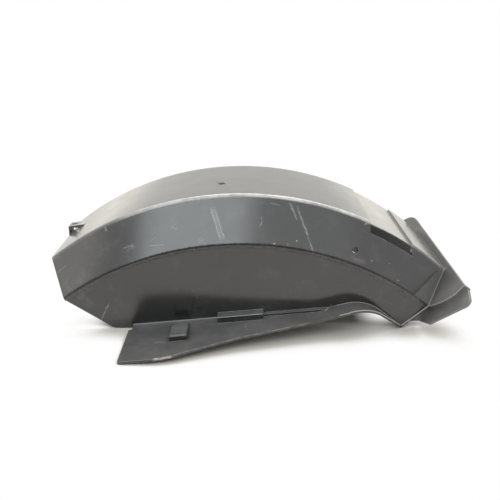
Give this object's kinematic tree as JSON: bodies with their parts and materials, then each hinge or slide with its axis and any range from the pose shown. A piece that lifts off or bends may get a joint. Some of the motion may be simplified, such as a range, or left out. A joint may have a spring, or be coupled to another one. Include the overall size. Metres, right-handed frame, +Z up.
{
  "type": "motorcycle inner fender",
  "caption": "Moulded motorcycle inner fender: an arched crown with sloped shoulders and side walls, a mounting shelf along the foot and a flanged end, keeping wheel spray off the frame.",
  "frame": {"origin": "under the middle of the part's box, on the ground that its lower corners rest on", "axes": "+X along the arch towards the flanged end, +Y across the arch away from the shelf, +Z up towards the crown"},
  "size_m": [0.4658, 0.3306, 0.152],
  "materials": {
    "black_plastic": "satin black moulding with light scuffs"
  },
  "bodies": {
    "root": {"inner_fender": "black_plastic"}
  },
  "joints": []
}
